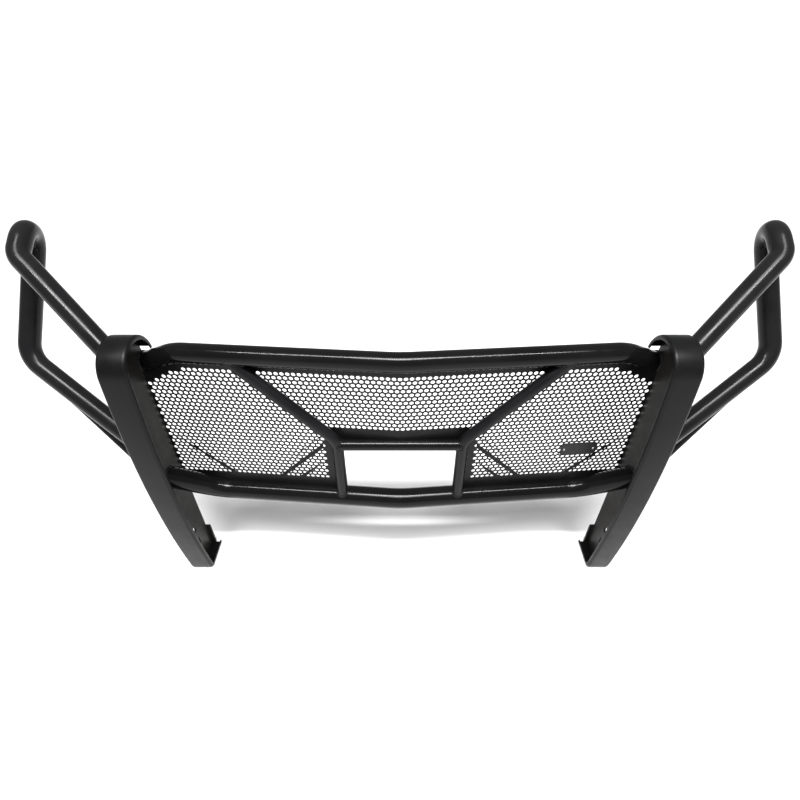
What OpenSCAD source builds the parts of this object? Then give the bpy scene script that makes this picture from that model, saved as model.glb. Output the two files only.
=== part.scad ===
// Front grille guard for a pickup truck, millimetres, +Z up.
// -Y is the front of the truck, +X its left side as seen from the front.
// The guard stands on its two feet: z = 0 is the underside of the feet, and x = y = 0 is the
// middle of the whole guard's footprint.

/* [Uprights] */
// Distance between the mid-planes of the two upright webs
upright_spacing = 1300; // [1100:10:1500]
// Height of an upright, foot to top of curl
upright_h = 850; // [700:5:1050]
// Width of the strap that faces forward
strap_w = 70; // [50:1:90]
// Sheet thickness of strap and foot
strap_t = 4; // [3:0.5:5]
// Depth of the turned-in lips along the strap
strap_lip = 12.5; // [10:0.5:16]
// Outside radius of the strap's long edges
strap_edge_r = 8; // [6:0.5:9]
// Radius of the strap's long forward bow
bow_r = 2850; // [2000:50:6000]
// Height at which the bow stands furthest forward
bow_z = 445; // [350:5:500]
// Outside radius of the curl at the top
curl_r = 75; // [55:1:95]
// Angle of the curl's free end, from the front over the top
curl_end = 171; // [150:1:176]
// Outside radius of the bend into the foot
foot_r = 20; // [17:1:30]
// Thickness of the upright web
web_t = 6; // [4:0.5:10]

/* [Centre frame] */
// Distance of the frame's middle behind the front of the uprights
frame_setback = 75; // [50:1:110]
// Angle by which each half of the frame sweeps back
frame_sweep = 4.6; // [0:0.1:8]
// Drop from the top of the uprights to the top tube's centreline
top_drop = 52; // [35:1:110]
// Height of the frame, top tube to bottom tube, on centrelines
frame_h = 490; // [400:5:600]
// Outside diameter of the top tube
top_d = 50.8; // [38:0.1:57]
// Outside diameter of the bottom tube
bottom_d = 60.3; // [45:0.1:64]
// Wall of the top and bottom tubes
frame_wall = 3; // [2:0.1:4]
// Distance from an upright's web to the bends near the tube ends
corner_in = 107; // [80:1:160]
// Fall of the top tube between its end bend and the web
top_end_fall = 58; // [30:1:70]
// Rearward run of the top tube between its end bend and the web
top_end_back = 44; // [20:1:55]
// Rise of the bottom tube between its end bend and the web
bottom_end_rise = 96; // [40:1:120]
// Forward run of the bottom tube between its end bend and the web
bottom_end_front = 45; // [20:1:60]

/* [Receiver window] */
// Outside diameter of the diagonals, posts and crossbar
bar_d = 32; // [25:0.1:38]
// Wall of the diagonals, posts and crossbar
bar_wall = 2.5; // [1.5:0.1:4]
// Clear width of the window between the posts
window_w = 304; // [200:2:400]
// Height of the crossbar's centreline above the bottom tube's
window_h = 217; // [150:1:260]
// Height of the diagonals' lower bend above the crossbar
knee_rise = 14; // [5:1:40]
// Distance of the diagonals' upper ends from the middle of the guard
diagonal_reach = 421; // [300:1:480]
// Centreline radius of the bend from diagonal to post
knee_r = 60; // [45:1:90]

/* [Punch plate] */
// Thickness of the punch plate
plate_t = 2.5; // [1.5:0.1:4]
// Distance of the punch plate behind the frame's centrelines
plate_back = 10; // [6:0.5:14]
// Diameter of the punched holes
hole_d = 22; // [14:0.5:24]
// Distance between the centres of neighbouring holes
hole_pitch = 29.2; // [27:0.1:45]
// Plain margin between the holes and the sheet's edges
plate_margin = 22; // [10:1:40]

/* [Wings] */
// Outside diameter of the wing tubes
wing_d = 50.8; // [38:0.1:57]
// Wall of the wing tubes
wing_wall = 2.4; // [1.5:0.1:4]
// Upper seat on the web: outwards, back, above the top of the upright
wing_seat_top = [0, 81, -84]; // [-600:1:600]
// Front elbow: outwards, back, above the top of the upright
wing_elbow = [248, 244, 138]; // [-600:1:600]
// Rear peak, where the two sides of the turn would meet
wing_peak = [243, 442, 286]; // [-600:1:600]
// Lower elbow: outwards, back, above the top of the upright
wing_low = [322, 203, -123]; // [-600:1:600]
// Lower seat on the web: outwards, back, above the top of the upright
wing_seat_low = [0, 70, -380]; // [-600:1:600]
// Centreline radius of the front elbow and the rear turn
wing_turn_r = 45; // [40:1:60]
// Centreline radius of the lower elbow
wing_low_r = 75; // [60:1:110]
// Diameter of the brace below each wing
brace_d = 19; // [12:0.5:25]
// Seat of the brace on the web: outwards, back, above the top of the upright
brace_seat = [0, 62, -511]; // [-600:1:600]
// Share of the lower wing bar's run, from its seat, where the brace meets it
brace_meet = 0.88; // [0.6:0.02:0.9]
// Drop of the brace's centreline below the bar's at that point
brace_drop = 29; // [10:1:32]

/* [Mounting] */
// Width of the mounting slots in each web
slot_w = 13; // [9:0.5:17]
// Length of the mounting slots, end to end
slot_l = 28; // [18:1:40]
// Height of the middle of the slot pair
slot_z = 130; // [110:1:160]
// Distance between the two slots' centres
slot_pitch = 60; // [45:1:80]
// Distance of the slots behind the front of the uprights
slot_y = 72; // [60:1:90]
// Height of the bar along the rear edge of the web's foot
tab_h = 88; // [60:1:110]
// Width of that bar
tab_w = 18; // [12:1:30]

/* [Badge] */
// Width of the plain badge plate
badge_w = 104; // [60:1:140]
// Height of the plain badge plate
badge_h = 46; // [30:1:60]
// Thickness of the badge plate
badge_t = 3; // [2:0.5:5]
// Distance of the badge from the middle of the guard
badge_x = 505; // [420:1:520]
// Height of the badge's middle above the bottom tube
badge_z = 160; // [110:1:200]

/* [Hidden] */

seat_gap = 0.3;                 // between pieces that are seated on a curved face
web_eye_d = top_d + 10;         // round end of the web that carries the top tube
reach = 40;                     // how far a tube is drawn past the face that trims it
lap = 0.8;                      // how far a straight run is drawn into its bend
swell = 0.1;                    // by how much a bend is thicker than a straight run
huge = 3000;                    // larger than the guard
web_x = upright_spacing / 2;
web_in = web_x - web_t / 2;
web_out = web_x + web_t / 2;

top_z = upright_h - top_drop;
bottom_z = top_z - frame_h;
crossbar_z = bottom_z + window_h;
corner_x = web_x - corner_in;

// The frame's centrelines lie in two upright planes that meet in a V at x = 0.
function sweep_y(x) = frame_setback + abs(x) * tan(frame_sweep);
plate_y = plate_back / cos(frame_sweep);
bar_y = (plate_back - plate_t / 2 - seat_gap - bar_d / 2) / cos(frame_sweep);
web_rear = sweep_y(web_in) + plate_y - plate_t / 2 - seat_gap;
post_x = window_w / 2 + bar_d / 2;

// Side view of an upright: the bow, the curl above it and the foot bend below it.
bow_at = [bow_r, bow_z];
curl_tilt = asin((upright_h - curl_r - bow_z) / (bow_r - curl_r));
curl_at = bow_at + (bow_r - curl_r) * [-cos(curl_tilt), sin(curl_tilt)];
foot_tilt = asin((bow_z - foot_r) / (bow_r - foot_r));
foot_at = bow_at + (bow_r - foot_r) * [-cos(foot_tilt), -sin(foot_tilt)];

// Right-hand routes; the left-hand ones are mirrored.
top_end = [web_x, sweep_y(corner_x) + top_end_back, top_z - top_end_fall];
bottom_end = [web_x, sweep_y(corner_x) - bottom_end_front, bottom_z + bottom_end_rise];
top_half = [[corner_x, sweep_y(corner_x), top_z], past(top_end, [corner_x, sweep_y(corner_x), top_z])];
bottom_half = [
    [corner_x, sweep_y(corner_x), bottom_z],
    past(bottom_end, [corner_x, sweep_y(corner_x), bottom_z])
];
top_path = both_sides([0, frame_setback, top_z], top_half);
bottom_path = both_sides([0, frame_setback, bottom_z], bottom_half);
top_radii = [0, 90, 400, 90, 0];
bottom_radii = [0, 110, 400, 110, 0];

diagonal_path = [
    [diagonal_reach, sweep_y(diagonal_reach) + bar_y, top_z],
    [post_x, sweep_y(post_x) + bar_y, crossbar_z + knee_rise],
    [post_x, sweep_y(post_x) + bar_y, bottom_z]
];
diagonal_radii = [0, knee_r, 0];

function wing_point(p) = [web_x + p[0], p[1], upright_h + p[2]];
wing_path = [
    past(wing_point(wing_seat_top), wing_point(wing_elbow)),
    wing_point(wing_elbow),
    wing_point(wing_peak),
    wing_point(wing_low),
    past(wing_point(wing_seat_low), wing_point(wing_low))
];
wing_radii = [0, wing_turn_r, wing_turn_r, wing_low_r, 0];
bar_meet = (1 - brace_meet) * wing_point(wing_seat_low) + brace_meet * wing_point(wing_low);
brace_top = bar_meet - [0, 0, brace_drop];
brace_path = [past(wing_point(brace_seat), brace_top), brace_top];

// Depth of the whole guard, used to set y = 0 at its middle.
peak_in = unit(wing_path[2] - wing_path[1]);
peak_out = unit(wing_path[3] - wing_path[2]);
peak_start = wing_path[2] - bend_trim(wing_path, wing_radii, 2) * peak_in;
peak_axis = unit(cross(peak_in, peak_out));
peak_centre = peak_start + wing_turn_r * cross(peak_axis, peak_in);
guard_depth = peak_centre[1] + wing_turn_r * sqrt(1 - pow(peak_axis[1], 2)) + wing_d / 2;

// ---- vectors and routes ----
function unit(v) = v / norm(v);
function past(end, before) = end + reach * unit(end - before);
function flip(p) = [-p[0], p[1], p[2]];
function both_sides(middle, half) = [flip(half[1]), flip(half[0]), middle, half[0], half[1]];
function bend_angle(p, i) = acos(unit(p[i] - p[i - 1]) * unit(p[i + 1] - p[i]));
function bend_trim(p, r, i) = i <= 0 || i >= len(p) - 1 ? 0 : r[i] * tan(bend_angle(p, i) / 2);

// Shortest distance from a point to a route, both seen from the front.
function front(p) = [p[0], p[2]];
function to_segment(q, a, b) =
    let (share = max(0, min(1, ((q - a) * (b - a)) / ((b - a) * (b - a)))))
    norm(q - a - share * (b - a));
function to_route(q, p) =
    min([for (i = [0 : len(p) - 2]) to_segment(q, front(p[i]), front(p[i + 1]))]);

// ---- building blocks ----
module from_front() {
    translate([0, -guard_depth / 2, 0]) children();
}

module on_side(side) {
    if (side > 0) children();
    else mirror([1, 0, 0]) children();
}

// A straight run of round bar between two points
module run(from, to, d) {
    along = to - from;
    translate(from)
        rotate([0, acos(along[2] / norm(along)), atan2(along[1], along[0])])
            cylinder(d = d, h = norm(along), $fn = 48);
}

// The bend at point i of a route
module bend(p, r, i, d) {
    ahead = unit(p[i] - p[i - 1]);
    after = unit(p[i + 1] - p[i]);
    axis = unit(cross(ahead, after));
    inward = cross(axis, ahead);
    centre = p[i] - bend_trim(p, r, i) * ahead + r[i] * inward;
    multmatrix([
        [-inward[0], ahead[0], axis[0], centre[0]],
        [-inward[1], ahead[1], axis[1], centre[1]],
        [-inward[2], ahead[2], axis[2], centre[2]],
        [0, 0, 0, 1]
    ])
        rotate_extrude(angle = bend_angle(p, i), $fn = 96)
            translate([r[i], 0]) circle(d = d, $fn = 48);
}

// A bar along a route: straight runs that lap into bends of radius r[i] at point i
module bar(p, r, d) {
    for (i = [0 : len(p) - 2]) {
        ahead = unit(p[i + 1] - p[i]);
        start = p[i] + (bend_trim(p, r, i) - lap) * ahead;
        end = p[i + 1] - (bend_trim(p, r, i + 1) - lap) * ahead;
        run(start, end, d - swell);
    }
    for (i = [1 : 1 : len(p) - 2]) bend(p, r, i, d);
}

module between_webs() {
    intersection() {
        children();
        translate([-web_in, -huge / 2, -huge / 2]) cube([2 * web_in, huge, huge]);
    }
}

module outside_web() {
    intersection() {
        children();
        translate([web_out, -huge / 2, -huge / 2]) cube([huge, huge, huge]);
    }
}

// ---- centre frame ----
module top_bar(d) {
    bar(top_path, top_radii, d);
}

module bottom_bar(d) {
    bar(bottom_path, bottom_radii, d);
}

module top_tube() {
    color("#17181a") from_front()
        difference() {
            between_webs() top_bar(top_d);
            top_bar(top_d - 2 * frame_wall);
        }
}

module bottom_tube() {
    color("#17181a") from_front()
        difference() {
            between_webs() bottom_bar(bottom_d);
            bottom_bar(bottom_d - 2 * frame_wall);
        }
}

// Diagonal and window post, bent from one tube and coped onto the two long tubes
module diagonal_tube(side) {
    color("#1d1e20") from_front() on_side(side)
        difference() {
            difference() {
                bar(diagonal_path, diagonal_radii, bar_d);
                top_bar(top_d);
                bottom_bar(bottom_d);
            }
            bar(diagonal_path, diagonal_radii, bar_d - 2 * bar_wall);
        }
}

module crossbar(d, overrun = 0) {
    y = sweep_y(post_x) + bar_y;
    run([-post_x - overrun, y, crossbar_z], [post_x + overrun, y, crossbar_z], d);
}

module crossbar_tube() {
    color("#1d1e20") from_front()
        difference() {
            crossbar(bar_d);
            crossbar(bar_d - 2 * bar_wall, bar_d);
            for (side = [-1, 1])
                on_side(side) bar(diagonal_path, diagonal_radii, bar_d);
        }
}

// ---- punch plate ----
plate_end = web_out / cos(frame_sweep);

// True where a hole, given by x and z, keeps its margin to tubes and window
function hole_fits(q) =
    to_route(q, top_path) > top_d / 2 + plate_margin + hole_d / 2
    && q[1] > bottom_z + bottom_d / 2 + plate_margin + hole_d / 2
    && q[0] < web_in - hole_d / 2
    && (q[0] > post_x + bar_d / 2 + hole_d / 2
        || q[1] > crossbar_z + bar_d / 2 + plate_margin + hole_d / 2);

// The sheet meets the falling end of the top tube, steps down below the eye of the web, and
// runs straight on behind the bottom tube
module plate_blank() {
    corner = corner_x / cos(frame_sweep);
    low = bottom_z + bottom_d / 2;
    end_z = top_z - top_end_fall - top_d / 4;
    inside = (web_in - 1) / cos(frame_sweep);
    under_eye = top_z - top_end_fall - web_eye_d / 2;
    seam = -plate_t / 20;
    translate([0, 0, -plate_t / 2])
        linear_extrude(height = plate_t)
            polygon([
                [seam, bottom_z],
                [corner - 2 * bottom_d, bottom_z],
                [corner - 1.5 * bottom_d, low],
                [plate_end, low],
                [plate_end, under_eye],
                [inside, under_eye],
                [inside, end_z],
                [corner, top_z - top_d / 4],
                [corner - top_d, top_z],
                [seam, top_z]
            ]);
}

// One half of the sheet, lying flat: x along the sheet, y up
module plate_holes() {
    row_pitch = hole_pitch * sqrt(3) / 2;
    rows = ceil(frame_h / row_pitch);
    columns = ceil(plate_end / hole_pitch);
    for (row = [0 : rows], column = [0 : columns]) {
        x = (column + 0.5 * (row % 2)) * hole_pitch;
        z = bottom_z + row * row_pitch;
        if (hole_fits([x * cos(frame_sweep), z]))
            translate([x, z, -plate_t]) cylinder(d = hole_d, h = 2 * plate_t, $fn = 48);
    }
}

module plate_window() {
    translate([-plate_t, bottom_z - plate_t, -plate_t])
        cube([post_x / cos(frame_sweep) + plate_t, window_h + plate_t, 2 * plate_t]);
}

module in_sheet(side) {
    on_side(side)
        translate([0, frame_setback + plate_y, 0])
            rotate([0, 0, frame_sweep]) rotate([90, 0, 0]) children();
}

module half_plate(side) {
    difference() {
        in_sheet(side)
            difference() {
                plate_blank();
                plate_window();
                plate_holes();
            }
        top_bar(top_d + 2 * seat_gap);
        bottom_bar(bottom_d + 2 * seat_gap);
        crossbar(bar_d + 2 * seat_gap);
    }
}

module punch_plate() {
    color("#232427") from_front() {
        half_plate(1);
        half_plate(-1);
    }
}

// ---- uprights ----
// Section of the strap: outer face on x = 0, lips turned towards -X
module strap_section(grow = 0) {
    inner_w = strap_w - 2 * strap_t - 2 * grow;
    inner_r = strap_edge_r - strap_t;
    difference() {
        rounded_channel(strap_w + 2 * grow, strap_edge_r + grow, -grow, strap_lip + grow);
        rounded_channel(inner_w, inner_r - grow, strap_t + grow, strap_lip + 1);
    }
}

module rounded_channel(w, r, face, depth) {
    translate([-depth, -w / 2]) square([depth - face - r, w]);
    translate([-face - r - 0.01, r - w / 2]) square([r + 0.01, w - 2 * r]);
    for (end = [-1, 1])
        translate([-face - r, end * (w / 2 - r)]) circle(r = r, $fn = 32);
}

// Sweeps a section in the side view about centre; angle 0 faces forward, 90 faces up
module sweep_side(centre, from, to, fn) {
    multmatrix([
        [0, 0, -1, web_x],
        [-1, 0, 0, centre[0]],
        [0, 1, 0, centre[1]],
        [0, 0, 0, 1]
    ])
        rotate([0, 0, from])
            rotate_extrude(angle = to - from, $fn = fn) children();
}

module upright_strap(side) {
    bow_lap = lap / bow_r * 180 / PI;
    color("#303134") from_front() on_side(side) {
        sweep_side(bow_at, -foot_tilt - bow_lap, curl_tilt + bow_lap, 1440)
            translate([bow_r, 0]) strap_section(-swell / 2);
        sweep_side(curl_at, curl_tilt, curl_end, 144)
            translate([curl_r, 0]) strap_section();
        sweep_side(foot_at, -90, -foot_tilt, 96)
            translate([foot_r, 0]) strap_section();
    }
}

module foot_plate(side) {
    color("#303134") from_front() on_side(side)
        translate([web_x, foot_at[0], 0])
            rotate([-90, 0, 0]) rotate([0, 0, 90])
                linear_extrude(height = web_rear - foot_at[0]) strap_section();
}

module slot_outline() {
    square([slot_w, slot_l - slot_w], center = true);
    for (end = [-1, 1])
        translate([0, end * (slot_l - slot_w) / 2]) circle(d = slot_w, $fn = 32);
}

// Outline of the web in the side view: y, z
module web_outline() {
    inner_foot_r = foot_r - strap_t;
    difference() {
        union() {
            intersection() {
                translate(bow_at) circle(r = bow_r - strap_t - seat_gap / 2, $fn = 2880);
                translate([0, foot_r]) square([web_rear, curl_at[1] - foot_r]);
            }
            translate([foot_at[0], strap_t]) square([web_rear - foot_at[0], foot_r - strap_t]);
            translate(foot_at) circle(r = inner_foot_r - seat_gap / 2, $fn = 96);
            translate(curl_at) circle(r = curl_r - strap_t - seat_gap / 2, $fn = 144);
            translate([top_end[1], top_end[2]]) circle(d = web_eye_d, $fn = 96);
        }
        for (end = [-1, 1])
            translate([slot_y, slot_z + end * slot_pitch / 2]) slot_outline();
    }
}

module upright_web(side) {
    color("#3b3c3e") from_front() on_side(side)
        translate([web_in, 0, 0])
            rotate([90, 0, 90]) linear_extrude(height = web_t) web_outline();
}

// Bar along the rear edge of the web, above the foot, that stiffens the bolted end
module mount_tab(side) {
    color("#1a1b1d") from_front() on_side(side)
        translate([web_out - tab_w, web_rear, 0])
            cube([tab_w, web_t, strap_t + tab_h]);
}

// ---- wings ----
module wing_tube(side) {
    color("#1b1c1e") from_front() on_side(side)
        difference() {
            outside_web() bar(wing_path, wing_radii, wing_d);
            bar(wing_path, wing_radii, wing_d - 2 * wing_wall);
        }
}

module wing_brace(side) {
    color("#1b1c1e") from_front() on_side(side)
        difference() {
            outside_web() run(brace_path[0], brace_path[1], brace_d);
            bar(wing_path, wing_radii, wing_d);
        }
}

// ---- badge ----
badge_hole_x = badge_w / 2 - 10;

module on_badge() {
    in_sheet(1)
        translate([badge_x / cos(frame_sweep), bottom_z + badge_z, plate_t / 2]) children();
}

module badge_plate() {
    corner = badge_h / 4;
    color("#2b2c2f") from_front() on_badge()
        linear_extrude(height = badge_t) {
            square([badge_w - 2 * corner, badge_h], center = true);
            square([badge_w, badge_h - 2 * corner], center = true);
            for (a = [-1, 1], b = [-1, 1])
                translate([a * (badge_w / 2 - corner), b * (badge_h / 2 - corner)])
                    circle(r = corner, $fn = 48);
        }
}

module badge_rivets() {
    color("#8d8f92") from_front() on_badge()
        for (end = [-1, 1])
            translate([end * badge_hole_x, 0, badge_t]) cylinder(d = 7, h = 1.6, $fn = 32);
}

top_tube();
bottom_tube();
crossbar_tube();
diagonal_tube(-1);  // left_diagonal_tube
diagonal_tube(1);  // right_diagonal_tube
punch_plate();
upright_strap(-1);  // left_upright_strap
upright_strap(1);  // right_upright_strap
upright_web(-1);  // left_upright_web
upright_web(1);  // right_upright_web
foot_plate(-1);  // left_foot_plate
foot_plate(1);  // right_foot_plate
mount_tab(-1);  // left_mount_tab
mount_tab(1);  // right_mount_tab
wing_tube(-1);  // left_wing_tube
wing_tube(1);  // right_wing_tube
wing_brace(-1);  // left_wing_brace
wing_brace(1);  // right_wing_brace
badge_plate();
badge_rivets();
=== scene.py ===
import bpy
import math
import random
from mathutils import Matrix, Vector
from mathutils.geometry import delaunay_2d_cdt


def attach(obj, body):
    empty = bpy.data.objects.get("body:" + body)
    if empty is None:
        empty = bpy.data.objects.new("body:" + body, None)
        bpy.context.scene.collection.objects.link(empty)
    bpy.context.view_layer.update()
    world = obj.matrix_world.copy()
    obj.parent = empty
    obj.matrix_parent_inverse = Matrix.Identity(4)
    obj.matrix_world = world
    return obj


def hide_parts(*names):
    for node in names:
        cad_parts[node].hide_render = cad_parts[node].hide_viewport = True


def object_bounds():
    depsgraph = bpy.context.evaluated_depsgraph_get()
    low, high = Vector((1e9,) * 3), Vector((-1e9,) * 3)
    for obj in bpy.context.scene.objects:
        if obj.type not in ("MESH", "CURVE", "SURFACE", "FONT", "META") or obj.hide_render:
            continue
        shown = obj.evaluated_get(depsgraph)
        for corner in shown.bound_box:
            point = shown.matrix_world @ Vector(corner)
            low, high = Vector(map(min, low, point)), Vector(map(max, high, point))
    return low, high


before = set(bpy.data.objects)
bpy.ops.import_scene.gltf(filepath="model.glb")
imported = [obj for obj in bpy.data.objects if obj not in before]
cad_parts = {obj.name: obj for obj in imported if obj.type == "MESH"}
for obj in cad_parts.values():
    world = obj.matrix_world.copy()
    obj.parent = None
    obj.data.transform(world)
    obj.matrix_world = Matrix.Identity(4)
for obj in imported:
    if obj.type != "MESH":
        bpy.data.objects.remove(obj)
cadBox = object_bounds()
frontY = cadBox[0].y  # the front of the uprights
mm = 0.001
print("frame loaded")


def at(x, y, z):
    # millimetres from the middle, the front and the feet of the guard
    return Vector((x * mm, y * mm + frontY, z * mm))


# finishes

def noiseInto(nodes, links, coords, scale, detail, low, high):
    noise = nodes.new("ShaderNodeTexNoise")
    noise.inputs["Scale"].default_value = scale
    noise.inputs["Detail"].default_value = detail
    links.new(coords.outputs["Object"], noise.inputs["Vector"])
    spread = nodes.new("ShaderNodeMapRange")
    spread.inputs["From Min"].default_value = 0.3
    spread.inputs["From Max"].default_value = 0.7
    spread.inputs["To Min"].default_value = low
    spread.inputs["To Max"].default_value = high
    links.new(noise.outputs["Fac"], spread.inputs["Value"])
    return spread.outputs["Result"]


def powderCoat(name, dark, light, roughLow, roughHigh, peelScale, peelDepth, dust=0.25):
    coat = bpy.data.materials.new(name)
    coat.use_nodes = True
    nodes, links = coat.node_tree.nodes, coat.node_tree.links
    shader = nodes["Principled BSDF"]
    coords = nodes.new("ShaderNodeTexCoord")
    shader.inputs["IOR"].default_value = 1.4
    shader.inputs["Specular IOR Level"].default_value = 0.2
    # tone: slow clouding, with a little fine dust over it
    slow = noiseInto(nodes, links, coords, 7, 3, 0, 1)
    fine = noiseInto(nodes, links, coords, 240, 4, 0, dust)
    tone = nodes.new("ShaderNodeMath")
    tone.operation = "ADD"
    tone.use_clamp = True
    links.new(slow, tone.inputs[0])
    links.new(fine, tone.inputs[1])
    colours = nodes.new("ShaderNodeMix")
    colours.data_type = "RGBA"
    colours.inputs["A"].default_value = (*dark, 1)
    colours.inputs["B"].default_value = (*light, 1)
    links.new(tone.outputs[0], colours.inputs["Factor"])
    links.new(colours.outputs["Result"], shader.inputs["Base Color"])
    links.new(noiseInto(nodes, links, coords, 28, 3, roughLow, roughHigh), shader.inputs["Roughness"])
    # orange peel, in two sizes
    peel = nodes.new("ShaderNodeTexNoise")
    peel.inputs["Scale"].default_value = peelScale
    peel.inputs["Detail"].default_value = 2
    links.new(coords.outputs["Object"], peel.inputs["Vector"])
    bump = nodes.new("ShaderNodeBump")
    bump.inputs["Strength"].default_value = 0.6
    bump.inputs["Distance"].default_value = peelDepth
    links.new(peel.outputs["Fac"], bump.inputs["Height"])
    links.new(bump.outputs["Normal"], shader.inputs["Normal"])
    return coat


finishes = {
    "tubeGloss": powderCoat("tubeGloss", (0.0025, 0.0025, 0.0028), (0.0046, 0.0046, 0.0048),
                            0.10, 0.19, 420, 0.00006),
    "wingGloss": powderCoat("wingGloss", (0.0050, 0.0050, 0.0055), (0.0092, 0.0092, 0.0097),
                            0.16, 0.27, 420, 0.00007),
    "barSatin": powderCoat("barSatin", (0.0040, 0.0040, 0.0046), (0.0071, 0.0071, 0.0078),
                           0.26, 0.38, 520, 0.00007),
    "strapSatin": powderCoat("strapSatin", (0.0025, 0.0025, 0.0026), (0.0045, 0.0045, 0.0048),
                             0.30, 0.42, 650, 0.00009),
    "webGloss": powderCoat("webGloss", (0.0088, 0.0082, 0.0077), (0.0152, 0.0142, 0.0132),
                           0.34, 0.46, 260, 0.00003),
    "sheetBlack": powderCoat("sheetBlack", (0.0030, 0.0030, 0.0033), (0.0061, 0.0061, 0.0063),
                             0.28, 0.42, 700, 0.00006),
    "weldCoat": powderCoat("weldCoat", (0.0035, 0.0035, 0.0038), (0.0065, 0.0065, 0.0068),
                           0.22, 0.36, 900, 0.00010),
    "badgeBlack": powderCoat("badgeBlack", (0.0074, 0.0074, 0.0081), (0.0134, 0.0134, 0.0145),
                             0.24, 0.34, 500, 0.00004),
    "rivetMetal": powderCoat("rivetMetal", (0.30, 0.30, 0.31), (0.42, 0.42, 0.43),
                             0.26, 0.40, 900, 0.00003),
}
finishes["rivetMetal"].node_tree.nodes["Principled BSDF"].inputs["Metallic"].default_value = 1.0
print("finishes mixed")


def addPiece(name, verts, faces, finish, nodesReplaced=(), slotName=None, smoothAngle=35):
    mesh = bpy.data.meshes.new(name)
    mesh.from_pydata(verts, [], faces)
    mesh.update()
    piece = bpy.data.objects.new(name, mesh)
    bpy.context.collection.objects.link(piece)
    mesh.materials.append(finishes[finish])
    mesh.shade_smooth()
    mesh.set_sharp_from_angle(angle=math.radians(smoothAngle))
    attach(piece, "root")
    if nodesReplaced:
        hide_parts(*nodesReplaced)
    return piece


# routes and tubes

def bendRoute(corners, radii, stepDeg=2.5):
    # dense points along straight runs joined by arcs
    out = [corners[0].copy()]
    for i in range(1, len(corners) - 1):
        a = (corners[i] - corners[i - 1]).normalized()
        b = (corners[i + 1] - corners[i]).normalized()
        turn = a.angle(b)
        r = radii[i] * mm
        trim = r * math.tan(turn / 2)
        axis = a.cross(b).normalized()
        inward = axis.cross(a)
        start = corners[i] - a * trim
        centre = start + inward * r
        steps = max(3, round(math.degrees(turn) / stepDeg))
        for k in range(steps + 1):
            t = turn * k / steps
            out.append(centre - inward * r * math.cos(t) + a * r * math.sin(t))
    out.append(corners[-1].copy())
    return out


def tangentsOf(path):
    out = []
    for i in range(len(path)):
        if i == 0:
            out.append((path[1] - path[0]).normalized())
        elif i == len(path) - 1:
            out.append((path[-1] - path[-2]).normalized())
        else:
            a = (path[i] - path[i - 1]).normalized()
            b = (path[i + 1] - path[i]).normalized()
            out.append((a + b).normalized())
    return out


def sweep(path, radius, sides, closed=False, ripple=None):
    # rings of a round section carried along the path without twist
    tangents = tangentsOf(path)
    if closed:
        for i in (0, len(path) - 1):
            before, after = path[i - 1], path[(i + 1) % len(path)]
            tangents[i] = (after - before).normalized()
    side = tangents[0].orthogonal().normalized()
    verts, faces = [], []
    for i, (p, t) in enumerate(zip(path, tangents)):
        side = (side - t * side.dot(t)).normalized()
        up = t.cross(side)
        r = radius * (ripple[i] if ripple else 1)
        for k in range(sides):
            a = 2 * math.pi * k / sides
            verts.append(p + (side * math.cos(a) + up * math.sin(a)) * r)
    rings = len(path)
    for i in range(rings if closed else rings - 1):
        j = (i + 1) % rings
        for k in range(sides):
            m = (k + 1) % sides
            faces.append((i * sides + k, i * sides + m, j * sides + m, j * sides + k))
    if not closed:
        faces.append(tuple(reversed(range(sides))))
        faces.append(tuple(range((rings - 1) * sides, rings * sides)))
    return verts, faces


def cutEnd(verts, sides, ring, tangent, planeX):
    # slides one end ring along the tube until it lies flat on a web's face
    first = ring * sides
    for i in range(first, first + sides):
        v = verts[i]
        verts[i] = v + tangent * ((planeX * mm - v.x) / tangent.x)


def makeTube(name, path, diameter, finish, node, slotName, planes=(None, None), sides=64):
    verts, faces = sweep(path, diameter * mm / 2, sides)
    ends = tangentsOf(path)
    last = len(path) - 1
    rims = []
    for plane, ring, tangent in ((planes[0], 0, ends[0]), (planes[1], last, ends[-1])):
        if plane is not None:
            cutEnd(verts, sides, ring, tangent, plane)
            rims.append([v.copy() for v in verts[ring * sides:(ring + 1) * sides]])
    piece = addPiece(name, verts, faces, finish, [node], slotName)
    return piece, rims


def toPlane(inside, outside, planeX):
    t = (planeX * mm - inside.x) / (outside.x - inside.x)
    return inside + (outside - inside) * t


def mirrored(points):
    return [Vector((-p.x, p.y, p.z)) for p in points]


# centre frame
frameSize = {
    "webX": 650, "webThick": 6,  # middle of each web, and its thickness
    "setback": 75, "sweepDeg": 4.6,  # the frame's shallow V
    "topZ": 798, "topDiameter": 50.8, "topFall": 58, "topBack": 44,
    "bottomZ": 308, "bottomDiameter": 60.3, "bottomRise": 96, "bottomForward": 45,
    "cornerX": 543, "topBend": 90, "bottomBend": 110, "middleBend": 400,
}
webIn = frameSize["webX"] - frameSize["webThick"] / 2
webOut = frameSize["webX"] + frameSize["webThick"] / 2
slope = math.tan(math.radians(frameSize["sweepDeg"]))


def sweepY(x):
    return frameSize["setback"] + abs(x) * slope


def longRoute(z, rise, back, bend):
    cx = frameSize["cornerX"]
    corner = at(cx, sweepY(cx), z)
    end = at(frameSize["webX"], sweepY(cx) + back, z + rise)
    end = toPlane(corner, end, webIn)
    flipped = mirrored([end, corner])
    corners = [*flipped, at(0, frameSize["setback"], z), corner, end]
    return bendRoute(corners, [0, bend, frameSize["middleBend"], bend, 0])


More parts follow.
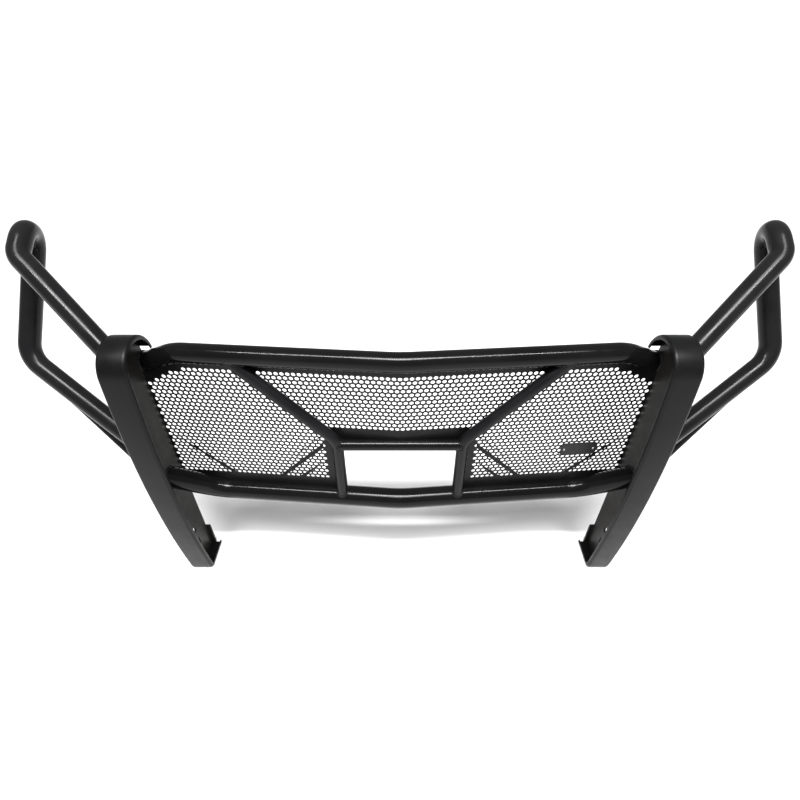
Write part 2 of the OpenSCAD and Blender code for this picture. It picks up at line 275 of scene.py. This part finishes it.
topRoute = longRoute(frameSize["topZ"], -frameSize["topFall"], frameSize["topBack"],
                     frameSize["topBend"])
bottomRoute = longRoute(frameSize["bottomZ"], frameSize["bottomRise"],
                        -frameSize["bottomForward"], frameSize["bottomBend"])
topTube, topRims = makeTube("topTube", topRoute, frameSize["topDiameter"], "tubeGloss",
                            "top_tube", "tube_black", (-webIn, webIn))
bottomTube, bottomRims = makeTube("bottomTube", bottomRoute, frameSize["bottomDiameter"],
                                  "tubeGloss", "bottom_tube", "tube_black", (-webIn, webIn))
print("long tubes bent")

# receiver window
windowSize = {
    "barDiameter": 32, "halfWidth": 168,  # post centrelines
    "crossbarZ": 525, "kneeZ": 539, "kneeBend": 60, "reachX": 421,
    "barForward": 7.6,  # bar centrelines ahead of the long tubes' plane
}


def barY(x):
    return sweepY(x) - windowSize["barForward"]


diagonalCorners = [
    at(windowSize["reachX"], barY(windowSize["reachX"]), frameSize["topZ"]),
    at(windowSize["halfWidth"], barY(windowSize["halfWidth"]), windowSize["kneeZ"]),
    at(windowSize["halfWidth"], barY(windowSize["halfWidth"]), frameSize["bottomZ"]),
]
diagonalRoute = bendRoute(diagonalCorners, [0, windowSize["kneeBend"], 0])
makeTube("rightDiagonal", diagonalRoute, windowSize["barDiameter"], "barSatin",
         "right_diagonal_tube", "tube_black", sides=48)
makeTube("leftDiagonal", mirrored(diagonalRoute), windowSize["barDiameter"], "barSatin",
         "left_diagonal_tube", "tube_black", sides=48)
crossbarEnds = [at(x, barY(windowSize["halfWidth"]), windowSize["crossbarZ"])
                for x in (-windowSize["halfWidth"], windowSize["halfWidth"])]
makeTube("crossbar", crossbarEnds, windowSize["barDiameter"], "tubeGloss",
         "crossbar_tube", "tube_black", sides=48)
print("window bars set")

# punched sheet
sheetSize = {
    "thick": 2.5, "behind": 10,  # behind the long tubes' plane
    "hole": 11.2, "pitch": 14.6, "rowPitch": 12.644, "firstRowZ": 375, "rows": 30,
    "marginTop": 14, "edgeAboveBottom": 26, "edgeLift": 4, "liftFrom": 500, "liftTo": 560,
    "tubeLap": 12, "marginPost": 18, "marginCrossbar": 25,
    "holeSides": 18,
}
cosSweep = math.cos(math.radians(frameSize["sweepDeg"]))
sinSweep = math.sin(math.radians(frameSize["sweepDeg"]))
sheetY = frameSize["setback"] + sheetSize["behind"] / cosSweep


def flatRoute(route):
    # the right-hand half of a route as x, z in millimetres
    return [(p.x / mm, p.z / mm) for p in route if p.x >= -1e-6]


topFlat = flatRoute(topRoute)


def awayFrom(x, z, flat):
    best = 1e9
    for (ax, az), (bx, bz) in zip(flat, flat[1:]):
        dx, dz = bx - ax, bz - az
        share = ((x - ax) * dx + (z - az) * dz) / (dx * dx + dz * dz or 1)
        share = max(0, min(1, share))
        best = min(best, math.hypot(x - ax - share * dx, z - az - share * dz))
    return best


def holeCentres():
    out = []
    r = sheetSize["hole"] / 2
    postOut = windowSize["halfWidth"] + windowSize["barDiameter"] / 2
    aboveBar = windowSize["crossbarZ"] + windowSize["barDiameter"] / 2
    across = int(webOut / sheetSize["pitch"]) + 2
    for row in range(sheetSize["rows"]):
        z = sheetSize["firstRowZ"] + row * sheetSize["rowPitch"]
        for column in range(-across, across + 1):
            s = (column + 0.5 * ((row + 1) % 2)) * sheetSize["pitch"]
            x = abs(s) * cosSweep
            if x + r > webIn + 1:
                continue
            if x < postOut + sheetSize["marginPost"] + r and \
                    z < aboveBar + sheetSize["marginCrossbar"]:
                continue
            topGap = frameSize["topDiameter"] / 2 + sheetSize["marginTop"] + r
            if awayFrom(x, z, topFlat) > topGap:
                out.append((s, z))
    return out


def topEdgeAt(x):
    # where the sheet meets the top tube, which moves back past the sheet at its end
    for a, b in zip(topRoute, topRoute[1:]):
        if a.x / mm <= x <= b.x / mm or (b is topRoute[-1] and x > b.x / mm):
            share = (x * mm - a.x) / (b.x - a.x)
            tubeY = (a.y + (b.y - a.y) * share - frontY) / mm
            tubeZ = (a.z + (b.z - a.z) * share) / mm
            off = sheetY + x * slope - tubeY
            skin = (frameSize["topDiameter"] / 2 - 1) ** 2 - off * off
            return tubeZ - max(sheetSize["tubeLap"], math.sqrt(max(0, skin)))


def sheetOutline():
    # half of the edge, from the middle of the window round to the middle of the top
    lowZ = frameSize["bottomZ"] + sheetSize["edgeAboveBottom"]
    raisedZ = lowZ + sheetSize["edgeLift"]
    overBar = windowSize["crossbarZ"] + 4
    out = [(0, overBar), (windowSize["halfWidth"], overBar), (windowSize["halfWidth"], lowZ),
           (sheetSize["liftFrom"], lowZ), (sheetSize["liftTo"], raisedZ), (webOut, raisedZ)]
    out += [(x, topEdgeAt(x)) for x in (653, *range(645, 500, -10))]
    out += [(x, topEdgeAt(500)) for x in (400, 200, 0)]  # straight between the bends
    return [(x / cosSweep, z) for x, z in out]


def fold(s, z, side):
    # from the flat sheet to the V, on its front (-1) or back (+1) face
    lean = 0 if abs(s) < 1e-6 else math.copysign(sinSweep, s)
    depth = sheetSize["thick"] / 2 * side
    if lean == 0:
        return at(0, sheetY + depth / cosSweep, z)
    return at(s * cosSweep - lean * depth, sheetY + abs(s) * sinSweep + depth * cosSweep, z)


def insidePolygon(x, z, loop):
    hit = False
    for (ax, az), (bx, bz) in zip(loop, loop[1:] + loop[:1]):
        if (az > z) != (bz > z) and x < (bx - ax) * (z - az) / (bz - az) + ax:
            hit = not hit
    return hit


def fillBetween(points, edges, keep):
    # triangles between fixed edges, less those that keep() turns down
    flat, _, triangles, source, _, _ = delaunay_2d_cdt(
        [Vector(p) for p in points], edges, [], 0, 1e-4)
    out = []
    for tri in triangles:
        mid = sum((flat[i] for i in tri), Vector((0, 0))) / len(tri)
        if keep(mid.x, mid.y):
            out.append(tri)
    return [(p.x, p.y) for p in flat], out, source


def thicken(flat, tops, rim, place):
    # front and back faces of a flat plate, joined along its rims
    count = len(flat)
    verts = [place(x, z, -1) for x, z in flat] + [place(x, z, 1) for x, z in flat]
    faces = [tuple(t) for t in tops]
    faces += [tuple(count + i for i in reversed(t)) for t in tops]
    faces += [(b, a, a + count, b + count) for a, b in rim]
    return verts, faces


def plateMesh(outline, loops, place):
    points, edges = [], []
    for loop in [outline, *loops]:
        first = len(points)
        points += loop
        edges += [(first + i, first + (i + 1) % len(loop)) for i in range(len(loop))]

    def keep(x, z):
        return insidePolygon(x, z, outline) and not any(insidePolygon(x, z, h) for h in loops)

    flat, tops, source = fillBetween(points, edges, keep)
    now = {j: i for i, ids in enumerate(source) for j in ids}
    return thicken(flat, tops, [(now[a], now[b]) for a, b in edges], place)


def punchedMesh(outline, centres, place):
    # each hole sits in a six-sided cell; cells tile, and the plain margin is filled round them
    radius, pitch = sheetSize["hole"] / 2, sheetSize["pitch"]
    corner = pitch / math.sqrt(3)
    perEdge = sheetSize["holeSides"] // 6
    points, index, tops, rim, used = [], {}, [], [], {}

    def pointAt(x, z):
        key = (round(x, 2), round(z, 2))
        if key not in index:
            index[key] = len(points)
            points.append((x, z))
        return index[key]

    for s, z in centres:
        corners = [(s + corner * math.sin(math.pi / 3 * k), z + corner * math.cos(math.pi / 3 * k))
                   for k in range(6)]
        cell = []
        for k in range(6):
            (ax, az), (bx, bz) = corners[k], corners[(k + 1) % 6]
            for j in range(perEdge):
                share = j / perEdge
                cell.append(pointAt(ax + (bx - ax) * share, az + (bz - az) * share))
        count = len(cell)
        first = len(points)
        points.extend(ringPoints(s, z, radius, count))
        for k in range(count):
            m = (k + 1) % count
            tops.append((cell[k], cell[m], first + m, first + k))
            rim.append((first + m, first + k))
            edge = (min(cell[k], cell[m]), max(cell[k], cell[m]))
            used[edge] = used.get(edge, 0) + 1

    border = [edge for edge, times in used.items() if times == 1]
    borderPoints = sorted({i for edge in border for i in edge})
    local = {i: n for n, i in enumerate(borderPoints)}
    first = len(borderPoints)
    marginPoints = [points[i] for i in borderPoints] + list(outline)
    marginEdges = [(local[a], local[b]) for a, b in border]
    edgeRing = [(first + i, first + (i + 1) % len(outline)) for i in range(len(outline))]
    onFold = sorted((p[1], n) for n, p in enumerate(marginPoints) if abs(p[0]) < 1e-4)
    folds = [(onFold[0][1], onFold[1][1]), (onFold[-2][1], onFold[-1][1])]
    rows = {}
    for s, z in centres:
        rows.setdefault(round(z, 2), set()).add(round(s, 2))

    def keep(x, z):
        if not insidePolygon(x, z, outline):
            return False
        row = (z - sheetSize["firstRowZ"]) / sheetSize["rowPitch"]
        for nearRow in (math.floor(row), math.floor(row) + 1):
            rowZ = round(sheetSize["firstRowZ"] + nearRow * sheetSize["rowPitch"], 2)
            shift = 0.5 * ((nearRow + 1) % 2)
            centreX = (round(x / pitch - shift) + shift) * pitch
            if round(centreX, 2) in rows.get(rowZ, ()) :
                dx, dz = abs(x - centreX), abs(z - rowZ)
                if dx <= pitch / 2 and dx / 2 + dz * math.sqrt(3) / 2 <= pitch / 2:
                    return False
        return True

    flat, margin, source = fillBetween(marginPoints, marginEdges + edgeRing + folds, keep)
    now = {j: i for i, ids in enumerate(source) for j in ids}
    toAll = {now[n]: i for n, i in enumerate(borderPoints)}
    for i, p in enumerate(flat):
        if i not in toAll:
            toAll[i] = len(points)
            points.append(p)
    tops += [tuple(toAll[i] for i in tri) for tri in margin]
    rim += [(toAll[now[a]], toAll[now[b]]) for a, b in edgeRing]
    return thicken(points, tops, rim, place)


def ringPoints(cx, cz, r, sides):
    return [(cx + r * math.sin(2 * math.pi * k / sides), cz + r * math.cos(2 * math.pi * k / sides))
            for k in range(sides)]


halfEdge = sheetOutline()
sheetEdge = halfEdge + [(-x, z) for x, z in reversed(halfEdge[1:-1])]
centres = holeCentres()
sheetVerts, sheetFaces = punchedMesh(sheetEdge, centres, fold)
addPiece("punchedSheet", sheetVerts, sheetFaces, "sheetBlack", ["punch_plate"], "sheet_black",
         smoothAngle=20)
print("sheet punched:", len(centres), "holes")

# uprights
uprightSize = {
    "height": 850, "strapWidth": 70, "strapThick": 4, "lip": 12.5, "edgeRadius": 8,
    "bowRadius": 2850, "bowZ": 445, "curlRadius": 75, "curlEnd": 171, "footRadius": 20,
    "lipRound": 1.2,
}
bow = (uprightSize["bowRadius"], uprightSize["bowZ"])


def uprightArc(radius, rise):
    tilt = math.asin(rise / (bow[0] - radius))
    return tilt, (bow[0] - (bow[0] - radius) * math.cos(tilt),
                  bow[1] + math.copysign((bow[0] - radius) * math.sin(abs(tilt)), rise))


curlTilt, curlAt = uprightArc(uprightSize["curlRadius"],
                              uprightSize["height"] - uprightSize["curlRadius"] - bow[1])
footTilt, footAt = uprightArc(uprightSize["footRadius"], uprightSize["footRadius"] - bow[1])
webRear = sweepY(webIn) + sheetSize["behind"] / cosSweep - sheetSize["thick"] / 2 - 0.3


def sidePoint(centre, radius, angle):
    return (centre[0] - radius * math.cos(angle), centre[1] + radius * math.sin(angle))


def strapLine():
    # outer face of the strap in the side view, with outward normals, foot to curl
    out = []
    for k in range(13):
        a = math.radians(-90) + (footTilt + math.radians(90)) * k / 12
        out.append((sidePoint(footAt, uprightSize["footRadius"], a), a))
    for k in range(1, 60):
        a = footTilt + (curlTilt - footTilt) * k / 60
        out.append((sidePoint(bow, uprightSize["bowRadius"], a), a))
    end = math.radians(uprightSize["curlEnd"])
    for k in range(49):
        a = curlTilt + (end - curlTilt) * k / 48
        out.append((sidePoint(curlAt, uprightSize["curlRadius"], a), a))
    return out


def channelSection():
    # across the strap: offset along X, depth below the outer face
    half, r, t = uprightSize["strapWidth"] / 2, uprightSize["edgeRadius"], uprightSize["strapThick"]
    lip, tip = uprightSize["lip"], uprightSize["lipRound"]
    side = []
    for k in range(9):
        a = math.pi / 2 * k / 8
        side.append((half - r + r * math.sin(a), r - r * math.cos(a)))
    for k in range(4):
        a = math.pi / 2 * k / 3
        side.append((half - tip + tip * math.cos(a), lip - tip + tip * math.sin(a)))
    for k in range(4):
        a = math.pi / 2 * k / 3
        side.append((half - t + tip - tip * math.sin(a), lip - tip + tip * math.cos(a)))
    inner = r - t
    for k in range(7):
        a = math.pi / 2 * (1 - k / 6)
        side.append((half - r + inner * math.sin(a), r - inner * math.cos(a)))
    return side + [(-u, d) for u, d in reversed(side)]


def sweepChannel(line, centreX):
    section = channelSection()
    count = len(section)
    verts, faces = [], []
    for (y, z), a in line:
        ny, nz = -math.cos(a), math.sin(a)
        for u, d in section:
            verts.append(at(centreX + u, y - ny * d, z - nz * d))
    for i in range(len(line) - 1):
        for k in range(count):
            m = (k + 1) % count
            faces.append((i * count + k, i * count + m, (i + 1) * count + m, (i + 1) * count + k))
    faces.append(tuple(reversed(range(count))))
    last = (len(line) - 1) * count
    faces.append(tuple(range(last, last + count)))
    return verts, faces


def flipFaces(verts, faces):
    return [Vector((-v.x, v.y, v.z)) for v in verts], [tuple(reversed(f)) for f in faces]


strapVerts, strapFaces = sweepChannel(strapLine(), frameSize["webX"])
footLine = [((webRear - (webRear - footAt[0]) * k / 6, 0), math.radians(-90)) for k in range(7)]
footVerts, footFaces = sweepChannel(footLine, frameSize["webX"])
for side, flip in (("right", False), ("left", True)):
    for label, verts, faces, node in (("Strap", strapVerts, strapFaces, "upright_strap"),
                                      ("Foot", footVerts, footFaces, "foot_plate")):
        if flip:
            verts, faces = flipFaces(verts, faces)
        addPiece(side + label, verts, faces, "strapSatin", [side + "_" + node], "strap_black")
print("straps curled")

# webs: 6 mm plates that stand behind the middle of each strap
slotSize = {"width": 13, "length": 28, "y": 72, "z": 130, "pitch": 60}


def webOutline():
    gap = uprightSize["strapThick"] + 0.15
    out = []
    bowIn = uprightSize["bowRadius"] - gap
    for k in range(61):
        a = footTilt + (curlTilt - footTilt) * k / 60
        out.append(sidePoint(bow, bowIn, a))
    curlIn = uprightSize["curlRadius"] - gap
    lobe = (sweepY(frameSize["cornerX"]) + frameSize["topBack"],
            frameSize["topZ"] - frameSize["topFall"])
    lobeR = frameSize["topDiameter"] / 2 + 5
    arc = [sidePoint(curlAt, curlIn, curlTilt + (math.pi + 0.6 - curlTilt) * k / 60)
           for k in range(1, 61)]
    out += [p for p in arc if math.hypot(p[0] - lobe[0], p[1] - lobe[1]) > lobeR
            and p[1] > lobe[1] - 5]
    join = math.atan2(out[-1][1] - lobe[1], out[-1][0] - lobe[0])
    end = -math.acos(max(-1, min(1, (webRear - lobe[0]) / lobeR)))
    for k in range(1, 33):
        a = join + (end - join) * k / 32
        out.append((lobe[0] + lobeR * math.cos(a), lobe[1] + lobeR * math.sin(a)))
    out.append((webRear, uprightSize["strapThick"] + 0.1))
    out.append((footAt[0], uprightSize["strapThick"] + 0.1))
    footIn = uprightSize["footRadius"] - gap
    out += [sidePoint(footAt, footIn, math.radians(-90) + (footTilt + math.radians(90)) * k / 8)
            for k in range(1, 8)]
    return out


def slotPoints(cy, cz):
    r, half = slotSize["width"] / 2, (slotSize["length"] - slotSize["width"]) / 2
    out = []
    for k in range(17):
        a = math.pi * k / 16
        out.append((cy + r * math.cos(a), cz + half + r * math.sin(a)))
    for k in range(17):
        a = math.pi + math.pi * k / 16
        out.append((cy + r * math.cos(a), cz - half + r * math.sin(a)))
    return out


def bevelEdges(piece, width, segments=2):
    bevel = piece.modifiers.new("softEdges", "BEVEL")
    bevel.width = width * mm
    bevel.segments = segments
    bevel.limit_method = "ANGLE"
    bevel.angle_limit = math.radians(50)
    bevel.harden_normals = False


slots = [slotPoints(slotSize["y"], slotSize["z"] + d * slotSize["pitch"] / 2) for d in (-1, 1)]
for side, sign in (("right", 1), ("left", -1)):
    def standWeb(y, z, face, sign=sign):
        x = webIn if face * sign < 0 else webOut
        return at(sign * x, y, z)
    webVerts, webFaces = plateMesh(webOutline(), slots, standWeb)
    web = addPiece(side + "Web", webVerts, webFaces, "webGloss", [side + "_upright_web"],
                   "web_black", smoothAngle=25)
    bevelEdges(web, 0.6)
print("webs cut")

# wings
wingSize = {
    "diameter": 50.8, "height": 850, "turnBend": 45, "lowBend": 75,
    "seatTop": (0, 81, -84), "elbow": (248, 244, 138), "peak": (243, 442, 286),
    "low": (322, 203, -123), "seatLow": (0, 70, -380),
    "braceDiameter": 19, "braceSeat": (0, 62, -511), "braceMeet": 0.88,
    "braceDrop": 29,
}


def wingPoint(key):
    out, back, up = wingSize[key]
    return at(frameSize["webX"] + out, back, wingSize["height"] + up)


wingCorners = [wingPoint(k) for k in ("seatTop", "elbow", "peak", "low", "seatLow")]
braceTop = wingPoint("seatLow").lerp(wingPoint("low"), wingSize["braceMeet"])
braceTop.z -= wingSize["braceDrop"] * mm
braceLine = [toPlane(braceTop, wingPoint("braceSeat"), webOut), braceTop]
wingCorners[0] = toPlane(wingCorners[1], wingCorners[0], webOut)
wingCorners[4] = toPlane(wingCorners[3], wingCorners[4], webOut)
wingRoute = bendRoute(wingCorners, [0, wingSize["turnBend"], wingSize["turnBend"],
                                    wingSize["lowBend"], 0])
wingRims = {}
for side, sign in (("right", 1), ("left", -1)):
    route = wingRoute if sign > 0 else mirrored(wingRoute)
    rod = braceLine if sign > 0 else mirrored(braceLine)
    _, rims = makeTube(side + "Wing", route, wingSize["diameter"], "wingGloss",
                       side + "_wing_tube", "tube_black", (sign * webOut, sign * webOut))
    _, rodRims = makeTube(side + "Brace", rod, wingSize["braceDiameter"], "wingGloss",
                          side + "_wing_brace", "tube_black", (sign * webOut, None), sides=32)
    wingRims[side] = rims + rodRims
print("wings bent")

# badge
badgeSize = {
    "width": 104, "height": 46, "thick": 3, "x": 505, "z": 468, "corner": 11.5,
    "rimWidth": 3.2, "rimRise": 0.8, "rivetInset": 10, "rivetDiameter": 7,
}


def onBadge(u, v, rise):
    # u along the sheet, v up, rise out of the sheet's front face
    s = badgeSize["x"] / cosSweep + u
    depth = sheetSize["thick"] / 2 + rise
    return at(s * cosSweep + sinSweep * depth,
              sheetY + s * sinSweep - depth * cosSweep, badgeSize["z"] + v)


def roundedLoop(width, height, r, steps=8):
    out = []
    for cu, cv, start in ((1, 1, 0), (-1, 1, 90), (-1, -1, 180), (1, -1, 270)):
        for k in range(steps + 1):
            a = math.radians(start + 90 * k / steps)
            out.append((cu * (width / 2 - r) + r * math.cos(a),
                        cv * (height / 2 - r) + r * math.sin(a)))
    return out


def stackLoops(loops, place):
    # closed loops of equal length joined in order, the last one filled
    count = len(loops[0][0])
    verts = [place(u, v, rise) for loop, rise in loops for u, v in loop]
    faces = []
    for i in range(len(loops) - 1):
        for k in range(count):
            m = (k + 1) % count
            faces.append((i * count + k, i * count + m, (i + 1) * count + m, (i + 1) * count + k))
    last = (len(loops) - 1) * count
    faces.append(tuple(range(last, last + count)))
    faces.append(tuple(reversed(range(count))))
    return verts, faces


w, h, r, t = (badgeSize[k] for k in ("width", "height", "corner", "thick"))
rim = badgeSize["rimWidth"]
badgeLoops = [
    (roundedLoop(w, h, r), 0.05), (roundedLoop(w, h, r), t - 0.6),
    (roundedLoop(w - 0.4, h - 0.4, r - 0.2), t - 0.2), (roundedLoop(w - 1.2, h - 1.2, r - 0.6), t),
    (roundedLoop(w - 2 * rim, h - 2 * rim, r - rim), t),
    (roundedLoop(w - 2 * rim - 1.2, h - 2 * rim - 1.2, r - rim - 0.6), t - badgeSize["rimRise"]),
]
badgeVerts, badgeFaces = stackLoops(badgeLoops, onBadge)
addPiece("badgePlate", badgeVerts, badgeFaces, "badgeBlack", ["badge_plate"], "badge_black",
         smoothAngle=40)
rivetVerts, rivetFaces = [], []
for end in (-1, 1):
    loops = []
    for k in range(7):
        a = math.pi / 2 * k / 6
        radius = badgeSize["rivetDiameter"] / 2 * math.cos(a) + 0.05
        rise = t - badgeSize["rimRise"] + (1.6 + badgeSize["rimRise"]) * math.sin(a)
        cu = end * (w / 2 - badgeSize["rivetInset"])
        loops.append(([(cu + u, v) for u, v in ringPoints(0, 0, radius, 24)][::-1], rise))
    verts, faces = stackLoops(loops, onBadge)
    first = len(rivetVerts)
    rivetVerts += verts
    rivetFaces += [tuple(first + i for i in f) for f in faces]
addPiece("badgeRivets", rivetVerts, rivetFaces, "rivetMetal", ["badge_rivets"], "rivet_metal")
print("badge riveted")

# weld beads
weldSize = {"radius": 2.6, "ripple": 0.13, "wave": 3.4, "step": 1.0}
dice = random.Random(7)


def resample(points, step, closed):
    loop = points + [points[0]] if closed else points
    lengths = [(b - a).length for a, b in zip(loop, loop[1:])]
    total = sum(lengths)
    count = max(6, round(total / (step * mm)))
    out, i, gone = [], 0, 0.0
    for k in range(count + (0 if closed else 1)):
        want = total * k / count
        while i < len(lengths) - 1 and gone + lengths[i] < want:
            gone += lengths[i]
            i += 1
        share = (want - gone) / lengths[i] if lengths[i] > 0 else 0
        out.append(loop[i].lerp(loop[i + 1], max(0, min(1, share))))
    return out, total


def layBead(store, points, closed=True, radius=None):
    radius = (radius or weldSize["radius"]) * mm
    path, total = resample(points, weldSize["step"], closed)
    waves = max(4, round(total / (weldSize["wave"] * mm)))
    start = dice.random()
    ripple = []
    for k in range(len(path)):
        phase = (k / len(path) * waves + start) % 1
        swell = 1 + weldSize["ripple"] * (1 - 2 * abs(phase - 0.5) * 2) + dice.uniform(-0.02, 0.02)
        if not closed:
            toEnd = min(k, len(path) - 1 - k) / 4
            swell *= min(1, 0.35 + 0.65 * toEnd)
        ripple.append(swell)
    verts, faces = sweep(path, radius, 8, closed, ripple)
    first = len(store[0])
    store[0].extend(verts)
    store[1].extend(tuple(first + i for i in f) for f in faces)


def grown(rim, amount, planeX=None, shift=0.0):
    middle = sum(rim, Vector()) / len(rim)
    out = []
    for p in rim:
        q = p + (p - middle).normalized() * amount * mm
        if planeX is not None:
            q.x = (planeX + shift) * mm
        out.append(q)
    return out


def gapTo(point, route, radius):
    best = 1e9
    for a, b in zip(route, route[1:]):
        ab = b - a
        share = max(0, min(1, (point - a).dot(ab) / ab.length_squared))
        best = min(best, (point - a - ab * share).length)
    return best - radius


def meetLine(start, direction, reach, radius, target, targetRadius, sides=48):
    # where a round bar's skin runs into another tube, at most reach away
    side = direction.orthogonal().normalized()
    up = direction.cross(side)
    out = []
    for k in range(sides):
        a = 2 * math.pi * k / sides
        skin = start + (side * math.cos(a) + up * math.sin(a)) * radius
        gone = 0
        for _ in range(60):
            gap = gapTo(skin + direction * gone, target, targetRadius)
            if gap < 0.00002 or gone >= reach:
                break
            gone = min(reach, gone + gap * 0.9)
        out.append(skin + direction * gone)
    return out


beads = ([], [])
for rims, radius in ((topRims, 2.8), (bottomRims, 2.8)):
    for rim in rims:
        sign = 1 if rim[0].x > 0 else -1
        layBead(beads, grown(rim, 0.6, sign * webIn, -sign * 0.4), radius=radius)
for side, rims in wingRims.items():
    sign = 1 if side == "right" else -1
    for number, rim in enumerate(rims):
        layBead(beads, grown(rim, 0.6, sign * webOut, sign * 0.4), radius=2.8 if number < 2 else 2.0)

barR = windowSize["barDiameter"] / 2 * mm
for sign in (1, -1):
    path = diagonalRoute if sign > 0 else mirrored(diagonalRoute)
    upward = (path[0] - path[1]).normalized()
    layBead(beads, meetLine(path[0] - upward * 0.085, upward, 0.085, barR + 0.3 * mm, topRoute,
                            frameSize["topDiameter"] / 2 * mm))
    down = (path[-1] - path[-2]).normalized()
    layBead(beads, meetLine(path[-1] - down * 0.06, down, 0.06, barR + 0.3 * mm, bottomRoute,
                            frameSize["bottomDiameter"] / 2 * mm))
    outward = Vector((sign, 0, 0))
    start = at(0, barY(windowSize["halfWidth"]), windowSize["crossbarZ"]) + outward * 0.12
    layBead(beads, meetLine(start, outward, 0.048, barR + 0.3 * mm, path, barR), radius=2.2)
    wing = wingRoute if sign > 0 else mirrored(wingRoute)
    rod = braceLine if sign > 0 else mirrored(braceLine)
    along = (rod[1] - rod[0]).normalized()
    layBead(beads, meetLine(rod[1] - along * 0.09, along, 0.09,
                            (wingSize["braceDiameter"] / 2 + 0.2) * mm, wing,
                            wingSize["diameter"] / 2 * mm), radius=2.0)
addPiece("jointWelds", *beads, "weldCoat", (), "tube_black", smoothAngle=60)
print("joints welded")

# short stitches: web to strap, and sheet to tubes and bars on the back
stitchSize = {"length": 32, "radius": 2.2, "backPitch": 95}
stitches = ([], [])
for sign in (1, -1):
    for face in (-1, 1):
        x = frameSize["webX"] + face * (frameSize["webThick"] / 2 + 0.4)
        for k in range(7):
            middle = footTilt + (curlTilt - footTilt) * (k + 0.7) / 7.4
            spread = stitchSize["length"] / 2 / uprightSize["bowRadius"]
            arc = [sidePoint(bow, uprightSize["bowRadius"] - uprightSize["strapThick"] - 0.5,
                             middle + spread * j / 6) for j in range(-6, 7)]
            layBead(stitches, [at(sign * x, y, z) for y, z in arc], False, stitchSize["radius"])
        for z0 in (200, 270):
            layBead(stitches, [at(sign * x, webRear - 1, z) for z in (z0 + 230, z0 + 262)],
                    False, stitchSize["radius"])


def backStitch(x, z, dx, dz):
    half = stitchSize["length"] / 2
    points = []
    for j in (-1, -0.5, 0, 0.5, 1):
        s = (x + dx * half * j) / cosSweep
        points.append(fold(s, z + dz * half * j, 1) + Vector((0, 0.4 * mm, 0)))
    layBead(stitches, points, False, stitchSize["radius"])


for sign in (1, -1):
    for k in range(5):
        x = 60 + k * stitchSize["backPitch"]
        backStitch(sign * x, frameSize["topZ"] - 23.6, 1, 0)
        if x > 200:
            backStitch(sign * x, frameSize["bottomZ"] + 28.8, 1, 0)
    backStitch(sign * 220, frameSize["bottomZ"] + 28.8, 1, 0)
    for z in (370, 430, 490):
        backStitch(sign * (windowSize["halfWidth"] + 1), z, 0, 1)
    for z in (480, 560, 640):
        backStitch(sign * (webIn - 1), z, 0, 1)
addPiece("stitchWelds", *stitches, "weldCoat", (), "web_black", smoothAngle=60)
print("stitches laid")

# mount tabs stay as CAD solids with their own finish
for side in ("left", "right"):
    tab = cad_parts[side + "_mount_tab"]
    tab.data.materials.clear()
    tab.data.materials.append(finishes["webGloss"])
print("tabs coated")

# studio
studio = {
    "floorSize": 600, "floorTone": 0.9, "airTone": 0.36,
    "sunPower": 2.9, "sunSpread": 22, "sunHeight": 69,  # spread and height in degrees
    "stripPower": 150, "stripSize": (3.2, 0.16), "stripPlace": (0, -1.0, 3.2),
}
floorMesh = bpy.data.meshes.new("studioFloor")
far = studio["floorSize"]
floorMesh.from_pydata([(-far, -far, 0), (far, -far, 0), (far, far, 0), (-far, far, 0)], [],
                      [(0, 1, 2, 3)])
floor = bpy.data.objects.new("studioFloor", floorMesh)
bpy.context.collection.objects.link(floor)
floorPaint = bpy.data.materials.new("floorPaint")
floorPaint.use_nodes = True
floorShader = floorPaint.node_tree.nodes["Principled BSDF"]
tone = studio["floorTone"]
floorShader.inputs["Base Color"].default_value = (tone, tone, tone, 1)
floorShader.inputs["Roughness"].default_value = 0.9
floorMesh.materials.append(floorPaint)
floor.location.z = -0.0005

world = bpy.data.worlds.new("studioAir")
bpy.context.scene.world = world
world.use_nodes = True
sky = world.node_tree.nodes["Background"]
sky.inputs["Color"].default_value = (1, 1, 1, 1)
sky.inputs["Strength"].default_value = studio["airTone"]

sunData = bpy.data.lights.new("softSun", "SUN")
sunData.energy = studio["sunPower"]
sunData.angle = math.radians(studio["sunSpread"])
softSun = bpy.data.objects.new("softSun", sunData)
bpy.context.collection.objects.link(softSun)
softSun.rotation_euler = (math.radians(90 - studio["sunHeight"]), 0, 0)

stripData = bpy.data.lights.new("stripLight", "AREA")
stripData.shape = "RECTANGLE"
stripData.size, stripData.size_y = studio["stripSize"]
stripData.energy = studio["stripPower"]
stripLight = bpy.data.objects.new("stripLight", stripData)
bpy.context.collection.objects.link(stripLight)
stripLight.location = studio["stripPlace"]
toGuard = Vector((0, 0, 0.6)) - stripLight.location
stripLight.rotation_euler = toGuard.to_track_quat("-Z", "Y").to_euler()

shot = {"lens": 22.05, "sensor": 36, "place": (0, -860, 1457), "tilt": 50.5}
camData = bpy.data.cameras.new("camera")
camData.sensor_width = shot["sensor"]
camData.lens = shot["lens"]
camera = bpy.data.objects.new("camera", camData)
bpy.context.collection.objects.link(camera)
camera.location = at(*shot["place"])
camera.rotation_euler = (math.radians(shot["tilt"]), 0, 0)
bpy.context.scene.camera = camera
bpy.context.scene.view_settings.view_transform = "Standard"
print("studio lit")
